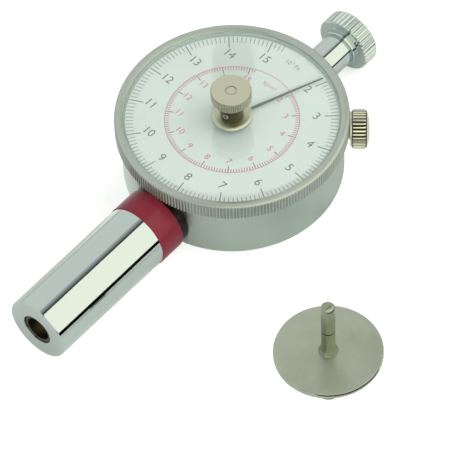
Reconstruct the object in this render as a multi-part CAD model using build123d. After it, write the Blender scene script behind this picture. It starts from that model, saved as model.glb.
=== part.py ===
"""Dial penetrometer for testing the hardness of fruit, with its indenter standing beside it.

All sizes are in millimetres. The tester lies on its back cover: Z is the dial axis, Y is the
plunger axis with the barrel towards -Y and the stem cap towards +Y, and X is to the right of
the dial. The origin is the centre of the back cover's outer face.
"""
import os
from math import acos, asin, cos, degrees, pi, radians, sin, sqrt, tan

from build123d import *

# Plunger axis and travel
plunger_z = 8.95          # height of the barrel, plunger and stem axis
travel = 10.0             # full stroke of the plunger
running = 0.08            # radial clearance of a sliding rod in its guide
slip = 0.03               # radial clearance of a small pivot or a screw in its thread
end_gap = 0.05            # axial gap at a stop or beside a turning face

# Case and back cover
case_r = 28.5
case_wall = 2.5
case_edge = 0.9           # rounding of the lower outside edge
case_above_axis = 8.8     # from the plunger axis to the case's shoulder
cover_t = 1.85
cover_inset = 1.6         # step between the case's side and the cover's
cover_edge = 0.3
cover_spigot_h = 0.4
spigot_step = 1.1         # step in from the case's side to the bezel's spigot
spigot_h = 1.1
seat_depth = 1.2          # depth of the flat seats for barrel and stem in the case's side
boss_depth = 6.0          # length of the threaded bosses behind those seats
boss_wall = 1.6
cover_screw_count = 4
cover_screw_r = 1.1
cover_screw_head_r = 2.0
cover_screw_l = 6.5
cover_screw_sunk = 0.1
screw_slot_w = 0.5
cover_boss_r = 2.2
cover_boss_inset = 1.7    # from the case's inside to the middle of a boss
cover_boss_h = 6.0

# Barrel, its band and the measuring spring
barrel_r = 8.75
barrel_l = 47.6           # from its seat on the case to its front face
barrel_edge = 0.35
barrel_mouth_edge = 0.3
guide_l = 12.9            # length of the front guide bore
nose_r = 4.22
chamber_r = 5.5
barrel_spigot_r = 6.3
band_gap = 2.55           # between the case's seat and the band
band_w = 7.35
band_sunk = 0.2           # depth of the band's seat in the barrel
band_proud = 0.2
spring_wire = 1.0
spring_mean_r = 4.75
spring_turns = 9.5
spring_steps = 16         # straight steps in each turn
spring_flats = 8          # flats round the wire
spring_seat_l = 5.0
spring_seat_slot = 1.0

# Plunger, rack plate and guide rod
nose_recess = 0.4         # plunger face behind the barrel's front face
socket_r = 3.35
socket_l = 5.0
socket_cone_h = 1.7       # drill point behind the socket
collar_play = 0.15        # between the plunger's collar and the chamber's wall
collar_l = 2.0
rod_r = 3.0
rod_gap = 16.5            # from the dial axis to the inner end of the plunger rod
fork_depth = 5.7
plate_t = 2.0
plate_w = 14.0
plate_rear = 9.5          # from the dial axis to the rear end of the rack plate
plate_edge = 1.0
guide_rod_r = 2.3
guide_rod_l = 22.5
guide_fork_depth = 5.0
cross_pin_r = 0.6

# Rack and pinion
module = 0.4
pinion_teeth = 9
profile_shift = 0.47      # in modules, keeps nine teeth free of undercut
pressure_angle = 20.0
root_depth = 1.25         # in modules
tip_cut = 0.2             # in modules, keeps the pinion's tips from being sharp
backlash = 0.06           # total play at the pitch line
slot_play = 0.4           # around the pinion where the rack plate has no teeth
pinion_l = 2.8
flank_steps = 5

# Movement plates
bridge_below_axis = 4.95  # from the lower bridge's underside up to the plunger axis
bridge_t = 1.3
bridge_play = 0.12        # between the lower bridge's ends and the case
lower_bridge_w = 13.0
lug_inset = 4.5           # from the case's inside to the middle of a lug
lug_r = 3.0
lug_h = 4.0
pillar_x = 12.5
pillar_r = 2.0
pillar_h = 7.45
pillar_tenon_r = 1.2
upper_bridge_l = 31.0
upper_bridge_w = 10.0
upper_bridge_corner = 3.3
bridge_screw_r = 0.8
bridge_screw_head_r = 1.7
bridge_screw_head_h = 1.0
bridge_screw_l = 4.0
bush_r = 1.8
bush_thrust_r = 1.2
bush_flange_h = 0.4

# Arbor and drive dog
pivot_r = 0.42
arbor_r = 0.9
journal_r = 0.75
dog_r = 2.6
dog_t = 0.5
dog_gap = 0.75            # between the dog and the dial above it
peg_r = 0.3
peg_circle_r = 2.0
peg_end_gap = 0.45        # between the dog's peg and the hand above it

# Stem and cap
stem_r = 4.64
stem_l = 16.4             # from its seat on the case to the cap's shoulder
stem_seat_play = 0.35     # radial room round the stem in its seat
stem_spigot_r = 3.9
stem_thread_r = 3.7
stem_thread_l = 3.8
cap_gap = 0.06            # between the stem's shoulder and the cap
cap_l = 5.0
cap_r = 7.87
cap_edge = 0.31
cap_collar_r = 5.3
cap_collar_l = 1.5
cap_ribs = 40
cap_rib_depth = 0.35

# Bezel, dial and window
bezel_gap = 0.15          # between the case's shoulder and the bezel
bezel_h = 4.55
bezel_overhang = 1.5      # how far the bezel stands out over the case
bezel_rim = 2.3           # width of the rim round the window
bezel_neck_h = 1.05
bezel_ribs = 220
bezel_rib_depth = 0.22
dial_rise = 1.75          # from the bezel's underside to the dial
dial_t = 0.5
dial_hole_r = 2.9
dial_ledge = 1.1
dial_ring_wall = 0.5
dial_ring_h = 1.1
window_t = 0.8
window_ledge = 0.5
snap_ring_w = 0.6
snap_ring_h = 0.5
snap_gap = 6.0

# Peak hand, spindle and reset knob
hand_angle = 68.0
hand_rise = 0.65          # hand over the dial
hand_t = 0.2
hand_hub_r = 2.5
hand_rim_gap = 1.5        # between the hand's tip and the rim
hand_bend_l = 6.2         # length of the blade that slopes down to the dial
hand_tip_drop = 0.35
hand_root_w = 1.5
hand_tip_w = 0.4
peg_play = 1.0            # degrees between dog peg and hand peg at rest
hand_peg_gap = 0.25       # between the hand's peg and the level of the dial's underside
spindle_r = 0.8
window_bush_r = 2.0
window_bush_flange_r = 5.2
window_bush_flange_h = 0.7
window_bush_edge = 0.25
window_bush_collar_r = 2.9
window_bush_collar_h = 0.12
knob_washer_r = 2.7
knob_washer_h = 0.25
knob_neck_r = 3.0
knob_neck_l = 6.0
knob_h = 3.1
knob_r = 5.23
knob_edge = 0.25
knob_ribs = 72
knob_rib_depth = 0.15
knob_recess_r = 1.5
knob_recess_h = 0.4
knob_rivet_r = 1.25
knob_rivet_h = 0.25
grub_h = 2.15             # above the foot of the knob's neck
grub_angle = -80.0
grub_r = 0.8
grub_recess = 0.2

# Bezel clamp screw
clamp_angle = 39.5
clamp_drop = 1.3          # below the case's shoulder
clamp_screw_r = 1.0
clamp_screw_l = 4.18      # threaded length behind the knob
clamp_boss_r = 2.6
clamp_seat_gap = 0.02     # between the boss and the washer's plane at the bezel
clamp_washer_r = 4.5
clamp_washer_t = 0.45
clamp_knob_r = 5.05
clamp_knob_l = 3.55
clamp_dome = 1.0
clamp_edge = 0.3
clamp_ribs = 32
clamp_rib_depth = 0.3

# Indenter
indenter_x = 63.4
indenter_y = -37.8
shank_r = 3.3
shank_l = 15.6
shank_edge = 0.4
disc_r = 13.65
disc_t = 1.4
disc_edge = 0.2
tip_r = 1.75
tip_l = 18.5
tip_edge = 0.15
tip_root_r = 2.5
tip_root_l = 1.0
depth_mark = 10.0         # depth groove, from the tip
depth_mark_w = 0.4
depth_mark_depth = 0.15

# Knurling, as shares of a rib's pitch
knurl_land = 0.3          # flat top of a rib
knurl_valley = 0.65       # bottom of the groove beside it
fine_knurl_valley = 0.5   # ribs without a land

# Heights that follow
cover_top_z = cover_t + cover_spigot_h
shoulder_z = plunger_z + case_above_axis
snap_z = shoulder_z + spigot_h / 2
lower_bridge_z = plunger_z - bridge_below_axis
lug_z = lower_bridge_z + bridge_t
upper_bridge_z = lug_z + pillar_h
bezel_z = shoulder_z + bezel_gap
bezel_top_z = bezel_z + bezel_h
dial_z = bezel_z + dial_rise
dial_top_z = dial_z + dial_t
window_z = dial_top_z + dial_ring_h
window_top_z = window_z + window_t
dog_z = dial_z - dog_gap - dog_t
hand_z = dial_top_z + hand_rise
dog_peg_top_z = hand_z - peg_end_gap
hand_peg_z = dial_z + hand_peg_gap
flange_top_z = window_top_z + window_bush_flange_h
neck_z = flange_top_z + knob_washer_h + end_gap
knob_z = neck_z + knob_neck_l
knob_top_z = knob_z + knob_h
grub_z = neck_z + grub_h
clamp_z = shoulder_z - clamp_drop

# Radii that follow
inner_r = case_r - case_wall
cover_r = case_r - cover_inset
cover_boss_place_r = inner_r - cover_boss_inset
lug_x = inner_r - lug_inset
spigot_r = case_r - spigot_step
snap_r = spigot_r + slip
bezel_r = case_r + bezel_overhang
bezel_lip_r = bezel_r - bezel_rim
dial_ledge_r = bezel_lip_r - dial_ledge
window_r = bezel_lip_r + window_ledge
hand_tip_r = bezel_lip_r - hand_rim_gap
hand_bend_r = hand_tip_r - hand_bend_l
barrel_bore_r = nose_r + running
collar_r = chamber_r - collar_play
band_seat_r = barrel_r - band_sunk
seat_bore_r = rod_r + running
stem_bore_r = guide_rod_r + running
pitch_r = module * pinion_teeth / 2
rack_line = pitch_r + profile_shift * module
rack_tip = rack_line - module
rack_root = rack_line + root_depth * module
pinion_root_r = rack_line - root_depth * module
pinion_tip_r = rack_line + (1 - tip_cut) * module

# Distances from the dial axis that follow
seat_y = case_r - seat_depth
barrel_root_y = seat_y - boss_depth
barrel_end_y = seat_y + barrel_l
guide_rear_y = barrel_end_y - guide_l
collar_y = guide_rear_y - end_gap
spring_seat_y = barrel_root_y + 2 * spring_seat_slot + spring_seat_l
band_near_y = seat_y + band_gap
band_far_y = band_near_y + band_w
front_pin_y = -rod_gap - fork_depth / 2
rear_pin_y = plate_rear + guide_fork_depth / 2
guide_rod_end_y = plate_rear + guide_rod_l
stem_shoulder_y = seat_y + stem_l
stem_end_y = stem_shoulder_y + stem_thread_l
cap_front_y = stem_shoulder_y + cap_gap
cap_rear_y = cap_front_y + cap_l
clamp_washer_s = bezel_r + slip
clamp_boss_end = bezel_r - clamp_seat_gap
clamp_knob_s = clamp_washer_s + clamp_washer_t
clamp_screw_end = clamp_knob_s - clamp_screw_l
indenter_place = Pos(indenter_x, indenter_y, 0)

to_barrel = Pos(0, 0, plunger_z) * Rot(90, 0, 0)
to_stem = Pos(0, 0, plunger_z) * Rot(-90, 0, 0)
to_clamp = Pos(0, 0, clamp_z) * Rot(0, 0, clamp_angle) * Rot(0, 90, 0)


def turned(*outline):
    """Solid of revolution about Z from (radius, height) corners."""
    return revolve(Plane.XZ * make_face(Polyline(*outline, close=True)), Axis.Z)


def disc(radius, bottom, top):
    """Plain cylinder on the Z axis."""
    return turned((0, bottom), (radius, bottom), (radius, top), (0, top))


def ring(outer, inner, bottom, top):
    """Plain tube on the Z axis."""
    return turned((inner, bottom), (outer, bottom), (outer, top), (inner, top))


def bar(length, width, bottom, top):
    """Flat bar centred on the Z axis, long in X."""
    return Pos(0, 0, bottom) * extrude(Rectangle(length, width), top - bottom)


def ribbed(profile, count, bottom, top):
    """Straight knurl: a disc whose edge repeats a profile of (share of the pitch, radius)."""
    points = []
    for rib in range(count):
        for share, r in profile:
            angle = 2 * pi * (rib + share) / count
            points.append((r * cos(angle), r * sin(angle)))
    return Pos(0, 0, bottom) * extrude(make_face(Polyline(*points, close=True)), top - bottom)


def coarse_knurl(radius, depth):
    """Ribs with flat tops, as on the cap and the clamp screw."""
    return (0, radius), (knurl_land, radius), (knurl_valley, radius - depth)


def fine_knurl(radius, depth):
    """Sharp ribs, as on the bezel and the reset knob."""
    return (0, radius), (fine_knurl_valley, radius - depth)


def polar(radius, angle):
    """Place on a circle about Z."""
    return Pos(radius * cos(radians(angle)), radius * sin(radians(angle)), 0)


def involute(angle):
    return tan(angle) - angle


def pinion_outline():
    """Closed outline of the shifted involute pinion, with one tooth on +X."""
    alpha = radians(pressure_angle)
    base_r = pitch_r * cos(alpha)
    half_pitch = pi / (2 * pinion_teeth) + 2 * profile_shift * tan(alpha) / pinion_teeth
    half_pitch -= backlash / 2 / (2 * pitch_r)
    flank = [(pinion_root_r, half_pitch + involute(alpha))]
    for step in range(flank_steps + 1):
        r = base_r + (pinion_tip_r - base_r) * step / flank_steps
        flank.append((r, half_pitch + involute(alpha) - involute(acos(base_r / r))))
    points = []
    for tooth in range(pinion_teeth):
        middle = 2 * pi * tooth / pinion_teeth
        for side, corners in ((-1, flank), (1, reversed(flank))):
            for r, half in corners:
                points.append((r * cos(middle + side * half), r * sin(middle + side * half)))
    return make_face(Polyline(*points, close=True))


def rack_slot():
    """Slot in the rack plate: rack teeth on its -X side, plain and open elsewhere."""
    pitch = pi * module
    slope = tan(radians(pressure_angle))
    half = pitch / 4 - backlash / 4
    tip_half = half - (rack_line - rack_tip) * slope
    root_half = half + (rack_root - rack_line) * slope
    high = pinion_tip_r + slot_play
    low = -travel - high
    points = [(high, low), (high, high), (-rack_root, high)]
    for tooth in range(int(high / pitch), int(low / pitch) - 1, -1):
        middle = (tooth + 0.5) * pitch
        if middle + root_half < high and middle - root_half > low:
            points += [(-rack_root, middle + root_half), (-rack_tip, middle + tip_half)]
            points += [(-rack_tip, middle - tip_half), (-rack_root, middle - root_half)]
    points.append((-rack_root, low))
    return make_face(Polyline(*points, close=True))


def case():
    """Cup-shaped housing, open at the back, with its threaded bosses and lugs."""
    top = shoulder_z + spigot_h
    body = turned((inner_r, cover_t), (case_r, cover_t), (case_r, shoulder_z),
                  (spigot_r, shoulder_z), (spigot_r, top), (inner_r, top))
    lowest = body.edges().filter_by(GeomType.CIRCLE).group_by(Axis.Z)[0]
    body = fillet(lowest.sort_by(SortBy.RADIUS)[-1], case_edge)
    inside = disc(case_r - case_edge, cover_top_z, shoulder_z)
    body += inside & (to_barrel * disc(barrel_spigot_r + boss_wall, barrel_root_y, case_r))
    body += inside & (to_stem * disc(stem_spigot_r + boss_wall, barrel_root_y, case_r))
    for side in (-1, 1):
        lug = Pos(side * lug_x, 0, 0) * disc(lug_r, lug_z, lug_z + lug_h)
        lug += Pos(side * (lug_x + inner_r) / 2, 0, 0) * bar(
            inner_r - lug_x + case_edge, 2 * lug_r, lug_z, lug_z + lug_h)
        body += inside & lug
    for place in cover_screw_places():
        body += inside & (place * disc(cover_boss_r, cover_top_z, cover_top_z + cover_boss_h))
        body -= place * disc(cover_screw_r, 0, cover_screw_sunk + cover_screw_l)
    for side in (-1, 1):
        body -= Pos(side * lug_x, 0, 0) * disc(bridge_screw_r, lug_z, lug_z + bridge_screw_l)
    below_bezel = disc(clamp_boss_end, 0, shoulder_z)
    body += below_bezel & (to_clamp * disc(clamp_boss_r, inner_r + slip, clamp_boss_end))
    body -= to_clamp * disc(clamp_screw_r + slip, 0, clamp_boss_end)
    flat = Rectangle(2 * case_r, 2 * case_r)
    body -= Pos(0, -seat_y - case_r, 0) * extrude(flat, shoulder_z)
    body -= to_stem * disc(stem_r + stem_seat_play, seat_y, case_r + case_wall)
    body -= to_barrel * disc(barrel_spigot_r, 0, seat_y)
    body -= to_stem * disc(stem_spigot_r, 0, seat_y)
    return body - ring(case_r, snap_r - snap_ring_w / 2, snap_z - snap_ring_h / 2,
                       snap_z + snap_ring_h / 2)


def cover_screw_places():
    """Places of the screws that hold the back cover, midway between the other bosses."""
    start = 180 / cover_screw_count
    step = 360 / cover_screw_count
    return [polar(cover_boss_place_r, start + n * step) for n in range(cover_screw_count)]


def cover_screws():
    """Countersunk slotted screws of the back cover."""
    bottom = cover_screw_sunk
    cone = cover_screw_head_r - cover_screw_r
    top = bottom + cover_screw_l
    screw = turned((0, bottom), (cover_screw_head_r, bottom), (cover_screw_r, bottom + cone),
                   (cover_screw_r, top), (0, top))
    screw -= Pos(0, 0, bottom) * Box(2 * cover_screw_head_r, screw_slot_w, screw_slot_w)
    return Compound([place * screw for place in cover_screw_places()])


def back_cover():
    cover = disc(cover_r, 0, cover_t) + disc(inner_r - slip, cover_t, cover_top_z)
    edge = cover.edges().filter_by(GeomType.CIRCLE).group_by(Axis.Z)[0]
    cover = chamfer(edge, cover_edge)
    cone = cover_screw_head_r - cover_screw_r
    hole = turned((0, 0), (cover_screw_head_r, 0), (cover_screw_head_r, cover_screw_sunk),
                  (cover_screw_r, cover_screw_sunk + cone), (cover_screw_r, cover_top_z),
                  (0, cover_top_z))
    for place in cover_screw_places():
        cover -= place * hole
    return cover


def barrel():
    """Chromed barrel: front guide bore, spring chamber and the spigot that screws into the case."""
    e = barrel_edge
    m = barrel_mouth_edge
    return to_barrel * turned(
        (barrel_bore_r, barrel_end_y - m), (barrel_bore_r + m, barrel_end_y),
        (barrel_r - e, barrel_end_y), (barrel_r, barrel_end_y - e), (barrel_r, band_far_y),
        (band_seat_r, band_far_y), (band_seat_r, seat_y), (barrel_spigot_r, seat_y),
        (barrel_spigot_r, barrel_root_y), (chamber_r, barrel_root_y),
        (chamber_r, guide_rear_y), (barrel_bore_r, guide_rear_y))


def spring_seat():
    """Threaded ring that loads the measuring spring and guides the plunger rod."""
    rear = spring_seat_y - spring_seat_l
    seat = ring(chamber_r, seat_bore_r, rear, spring_seat_y)
    seat -= Pos(0, 0, rear) * Box(2 * chamber_r, spring_seat_slot, 2 * spring_seat_slot)
    return to_barrel * seat


def measuring_spring():
    """Compression spring between collar and spring seat, drawn in short straight steps."""
    low = spring_seat_y + end_gap + spring_wire / 2
    high = collar_y - collar_l - end_gap - spring_wire / 2
    steps = round(spring_turns * spring_steps)
    points = []
    for step in range(steps + 1):
        angle = 2 * pi * step / spring_steps
        height = low + (high - low) * step / steps
        points.append((spring_mean_r * cos(angle), spring_mean_r * sin(angle), height))
    path = Polyline(*points)
    section = Plane(path @ 0, z_dir=path % 0) * RegularPolygon(spring_wire / 2, spring_flats)
    return to_barrel * sweep(section, path, transition=Transition.RIGHT)


def plunger():
    """Plunger with its nose socket, stop collar and forked rod."""
    nose_y = barrel_end_y - nose_recess
    bottom = nose_y - socket_l
    body = turned(
        (0, rod_gap), (rod_r, rod_gap), (rod_r, collar_y - collar_l),
        (collar_r, collar_y - collar_l), (collar_r, collar_y), (nose_r, collar_y),
        (nose_r, nose_y), (socket_r, nose_y), (socket_r, bottom), (0, bottom - socket_cone_h))
    fork = Box(4 * rod_r, plate_t, fork_depth, align=(Align.CENTER, Align.CENTER, Align.MIN))
    body -= Pos(0, 0, rod_gap) * fork
    return to_barrel * body - cross_pin(front_pin_y, rod_r)


def guide_rod():
    """Rear rod that keeps the rack plate in line inside the stem."""
    body = disc(guide_rod_r, plate_rear, guide_rod_end_y)
    fork = Box(4 * guide_rod_r, plate_t, guide_fork_depth,
               align=(Align.CENTER, Align.CENTER, Align.MIN))
    body -= Pos(0, 0, plate_rear) * fork
    return to_stem * body - cross_pin(rear_pin_y, guide_rod_r)


def cross_pin(y, r):
    """Pin through a fork and the tang in it, flush inside a rod of radius r."""
    half = sqrt(r ** 2 - cross_pin_r ** 2) - end_gap
    return Pos(0, y, 0) * disc(cross_pin_r, plunger_z - half, plunger_z + half)


def rack_pins():
    """Cross pins that hold the rack plate's tangs in the two forks."""
    return Compound([cross_pin(front_pin_y, rod_r), cross_pin(rear_pin_y, guide_rod_r)])


def rack_plate():
    """Slotted plate with the rack, and a tang at each end for the forked rods."""
    front = -rod_gap + end_gap
    rear = plate_rear - end_gap
    plate = Pos(0, (front + rear) / 2) * Rectangle(plate_w, rear - front)
    plate = chamfer(plate.vertices(), plate_edge)
    for rod, start, end in ((rod_r, front - fork_depth + 2 * end_gap, front),
                            (guide_rod_r, rear, rear + guide_fork_depth - 2 * end_gap)):
        width = 2 * (sqrt(rod ** 2 - (plate_t / 2) ** 2) - end_gap)
        tang = Pos(0, (start + end) / 2) * Rectangle(width, end - start)
        plate += tang
    plate -= rack_slot()
    solid = Pos(0, 0, plunger_z - plate_t / 2) * extrude(plate, plate_t)
    return solid - cross_pin(front_pin_y, rod_r) - cross_pin(rear_pin_y, guide_rod_r)


def pinion():
    bottom = plunger_z - pinion_l / 2
    gear = Pos(0, 0, bottom) * Rot(0, 0, 180) * extrude(pinion_outline(), pinion_l)
    return gear - disc(arbor_r, bottom, bottom + pinion_l)


def arbor():
    shoulder = lug_z + bush_flange_h + end_gap
    neck = upper_bridge_z - end_gap
    top = dog_z + dog_t
    return turned((0, lower_bridge_z), (pivot_r, lower_bridge_z), (pivot_r, shoulder),
                  (arbor_r, shoulder), (arbor_r, neck), (journal_r, neck), (journal_r, top),
                  (0, top))


def drive_dog():
    """Disc on the arbor whose peg pushes the peak hand up the scale."""
    dog = ring(dog_r, journal_r, dog_z, dog_z + dog_t)
    return dog + dog_peg_place() * disc(peg_r, dog_z, dog_peg_top_z)


def dog_peg_place():
    touching = 2 * degrees(asin(peg_r / peg_circle_r))
    return polar(peg_circle_r, hand_angle + touching + peg_play)


def lower_bridge():
    top = lug_z
    plate = bar(2 * inner_r, lower_bridge_w, lower_bridge_z, top)
    plate &= disc(inner_r - bridge_play, lower_bridge_z, top)
    plate -= disc(bush_r, lower_bridge_z, top)
    for side in (-1, 1):
        plate -= Pos(side * lug_x, 0, 0) * disc(bridge_screw_r, lower_bridge_z, top)
        plate -= Pos(side * pillar_x, 0, 0) * disc(pillar_tenon_r, lower_bridge_z, top)
    return plate


def upper_bridge():
    top = upper_bridge_z + bridge_t
    plate = bar(upper_bridge_l, upper_bridge_w, upper_bridge_z, top)
    plate = fillet(plate.edges().filter_by(Axis.Z), upper_bridge_corner)
    plate -= disc(bush_r, upper_bridge_z, top)
    for side in (-1, 1):
        plate -= Pos(side * pillar_x, 0, 0) * disc(bridge_screw_r, upper_bridge_z, top)
    return plate


def bridge_pillars():
    """Two pillars, riveted into the lower bridge and tapped at the top."""
    top = upper_bridge_z
    pillar = disc(pillar_tenon_r, lower_bridge_z, lug_z) + disc(pillar_r, lug_z, top)
    pillar -= disc(bridge_screw_r, top + bridge_t - bridge_screw_l, top)
    return Compound([Pos(side * pillar_x, 0, 0) * pillar for side in (-1, 1)])


def bridge_screws():
    """Cheese-head screws: two up into the case lugs, two down into the pillars."""
    head = disc(bridge_screw_head_r, -bridge_screw_head_h, 0)
    head -= Pos(0, 0, -bridge_screw_head_h) * Box(4 * bridge_screw_r, screw_slot_w, screw_slot_w)
    screw = head + disc(bridge_screw_r, 0, bridge_screw_l)
    screws = []
    for side in (-1, 1):
        screws.append(Pos(side * lug_x, 0, lower_bridge_z) * screw)
        screws.append(Pos(side * pillar_x, 0, upper_bridge_z + bridge_t) * Rot(180, 0, 0) * screw)
    return Compound(screws)


def bushes():
    """Arbor bushes pressed into the two bridges, each with a thrust face towards the pinion."""
    lower = ring(bush_r, pivot_r + slip, lower_bridge_z, lug_z)
    lower += ring(bush_thrust_r, pivot_r + slip, lug_z, lug_z + bush_flange_h)
    upper = ring(bush_r, journal_r + slip, upper_bridge_z, upper_bridge_z + bridge_t)
    return Compound([lower, upper])


def red_band():
    """Painted sleeve that lies in a shallow seat round the barrel."""
    return to_barrel * ring(barrel_r + band_proud, band_seat_r, band_near_y, band_far_y)


def stem():
    """Chromed stem with a threaded spigot at each end and the guide rod's bore."""
    return to_stem * turned(
        (stem_bore_r, barrel_root_y), (stem_spigot_r, barrel_root_y), (stem_spigot_r, seat_y),
        (stem_r, seat_y), (stem_r, stem_shoulder_y), (stem_thread_r, stem_shoulder_y),
        (stem_thread_r, stem_end_y), (stem_bore_r, stem_end_y))


def stem_cap():
    """Knurled screw cap with a collar that meets the stem's shoulder."""
    e = cap_edge
    front = cap_front_y
    rear = cap_rear_y
    body = turned((0, front), (cap_r - e, front), (cap_r, front + e), (cap_r, rear - e),
                  (cap_r - e, rear), (0, rear))
    body &= ribbed(coarse_knurl(cap_r, cap_rib_depth), cap_ribs, front, rear)
    body += ring(cap_collar_r, stem_r + slip, front - cap_collar_l, front)
    body -= disc(stem_r + slip, front - cap_collar_l, stem_shoulder_y + end_gap)
    return to_stem * (body - disc(stem_thread_r + slip, front, stem_end_y + end_gap))


def bezel_snap_ring():
    """Split flat ring that lies in grooves of the case spigot and the bezel."""
    half_w = snap_ring_w / 2
    half_h = snap_ring_h / 2
    wire = ring(snap_r + half_w, snap_r - half_w, snap_z - half_h, snap_z + half_h)
    return wire - Pos(-snap_r, 0, snap_z) * Box(snap_gap, snap_gap, snap_gap)


def bezel():
    """Turning rim that carries the window and the dial, knurled all round."""
    neck_r = spigot_r + running
    neck_z = bezel_z + bezel_neck_h
    body = turned(
        (neck_r, bezel_z), (bezel_r, bezel_z), (bezel_r, bezel_top_z),
        (bezel_lip_r, bezel_top_z), (bezel_lip_r, window_top_z),
        (window_r, window_top_z), (window_r, window_z), (bezel_lip_r, window_z),
        (bezel_lip_r, dial_z), (dial_ledge_r, dial_z), (dial_ledge_r, neck_z), (neck_r, neck_z))
    body &= ribbed(fine_knurl(bezel_r, bezel_rib_depth), bezel_ribs, bezel_z, bezel_top_z)
    groove_r = snap_r + snap_ring_w / 2 + end_gap
    half_h = snap_ring_h / 2 + end_gap
    return body - ring(groove_r, inner_r, snap_z - half_h, snap_z + half_h)


def dial():
    return ring(bezel_lip_r - slip, dial_hole_r, dial_z, dial_top_z)


def dial_ring():
    """Spacer that holds the dial down under the window."""
    return ring(bezel_lip_r, bezel_lip_r - dial_ring_wall, dial_top_z, window_z)


def window():
    return ring(window_r, window_bush_r, window_z, window_top_z)


def window_bush():
    """Flanged bush swaged into the window, in which the spindle turns."""
    bore = spindle_r + slip
    foot = window_z - window_bush_collar_h
    e = window_bush_edge
    return turned(
        (bore, foot), (window_bush_collar_r, foot), (window_bush_collar_r, window_z),
        (window_bush_r, window_z), (window_bush_r, window_top_z),
        (window_bush_flange_r, window_top_z), (window_bush_flange_r, flange_top_z - e),
        (window_bush_flange_r - e, flange_top_z), (bore, flange_top_z))


def knob_washer():
    return ring(knob_washer_r, spindle_r + slip, flange_top_z, flange_top_z + knob_washer_h)


def peak_hand():
    """Tapered hand that stays at the highest reading, with the peg that the dog pushes."""
    hub = ring(hand_hub_r, spindle_r, hand_z, hand_z + hand_t)
    tip_z = hand_z - hand_tip_drop
    side = Polyline((spindle_r, hand_z), (hand_bend_r, hand_z), (hand_tip_r, tip_z),
                    (hand_tip_r, tip_z + hand_t), (hand_bend_r, hand_z + hand_t),
                    (spindle_r, hand_z + hand_t), close=True)
    blade = extrude(Plane.XZ * make_face(side), hand_root_w, both=True)
    outline = Polyline((spindle_r, -hand_root_w / 2), (hand_tip_r, -hand_tip_w / 2),
                       (hand_tip_r, hand_tip_w / 2), (spindle_r, hand_root_w / 2), close=True)
    blade &= Pos(0, 0, hand_z - hand_tip_drop) * extrude(make_face(outline), 2 * hand_tip_drop)
    hand = Rot(0, 0, hand_angle) * blade + hub - disc(spindle_r, tip_z, hand_z + hand_t)
    return hand + polar(peg_circle_r, hand_angle) * disc(peg_r, hand_peg_z, hand_z)


def hand_spindle():
    """Spindle from the hand up through the window to its rivet in the knob."""
    recess_z = knob_top_z - knob_recess_h
    spindle = disc(spindle_r, hand_z, recess_z)
    return spindle + disc(knob_rivet_r, recess_z, recess_z + knob_rivet_h)


def reset_knob():
    """Knurled knob that turns the peak hand back, with its neck and grub screw hole."""
    e = knob_edge
    head = turned((0, knob_z), (knob_r - e, knob_z), (knob_r, knob_z + e),
                  (knob_r, knob_top_z - e), (knob_r - e, knob_top_z), (0, knob_top_z))
    head &= ribbed(fine_knurl(knob_r, knob_rib_depth), knob_ribs, knob_z, knob_top_z)
    knob = head + disc(knob_neck_r, neck_z, knob_z)
    knob -= disc(knob_recess_r, knob_top_z - knob_recess_h, knob_top_z)
    return knob - disc(spindle_r, neck_z, knob_top_z) - grub_place() * disc(grub_r, 0, knob_neck_r)


def knob_grub_screw():
    """Slotted grub screw that locks the knob to the spindle."""
    end = knob_neck_r - grub_recess
    screw = disc(grub_r, spindle_r, end)
    return grub_place() * (screw - Pos(0, 0, end) * Box(screw_slot_w, 2 * grub_r, screw_slot_w))


def grub_place():
    return Pos(0, 0, grub_z) * Rot(0, 0, grub_angle) * Rot(0, 90, 0)


def clamp_washer():
    """Plain washer that presses on the bezel's rim."""
    return to_clamp * ring(clamp_washer_r, clamp_screw_r + slip, clamp_washer_s, clamp_knob_s)


def clamp_screw():
    """Knurled screw with a domed end, turned from one piece."""
    s = clamp_knob_s
    rim = s + clamp_knob_l
    e = clamp_edge
    dome_r = clamp_knob_r - e
    sphere_r = (dome_r ** 2 + clamp_dome ** 2) / (2 * clamp_dome)
    head = turned((0, s), (clamp_knob_r - e, s), (clamp_knob_r, s + e), (clamp_knob_r, rim - e),
                  (dome_r, rim), (dome_r, rim + clamp_dome), (0, rim + clamp_dome))
    head &= Pos(0, 0, rim + clamp_dome - sphere_r) * Sphere(sphere_r)
    head &= ribbed(coarse_knurl(clamp_knob_r, clamp_rib_depth), clamp_ribs, s, rim + clamp_dome)
    return to_clamp * (head + disc(clamp_screw_r, clamp_screw_end, s))


def indenter_shank():
    """Shank, disc seat and measuring tip of the indenter, turned from one bar."""
    seat = shank_l
    flare = seat + disc_t + tip_root_l
    top = seat + disc_t + tip_l
    mark = top - depth_mark
    groove_r = tip_r - depth_mark_depth
    return indenter_place * turned(
        (0, 0), (shank_r - shank_edge, 0), (shank_r, shank_edge), (shank_r, seat),
        (tip_root_r, seat), (tip_root_r, seat + disc_t), (tip_r, flare),
        (tip_r, mark - depth_mark_w), (groove_r, mark - depth_mark_w), (groove_r, mark),
        (tip_r, mark), (tip_r, top - tip_edge), (tip_r - tip_edge, top), (0, top))


def guard_disc():
    """Disc that marks the full depth of the test."""
    body = ring(disc_r, tip_root_r, shank_l, shank_l + disc_t)
    rims = [edge for edge in body.edges().filter_by(GeomType.CIRCLE) if edge.radius > tip_root_r]
    return indenter_place * chamfer(rims, disc_edge)


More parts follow.
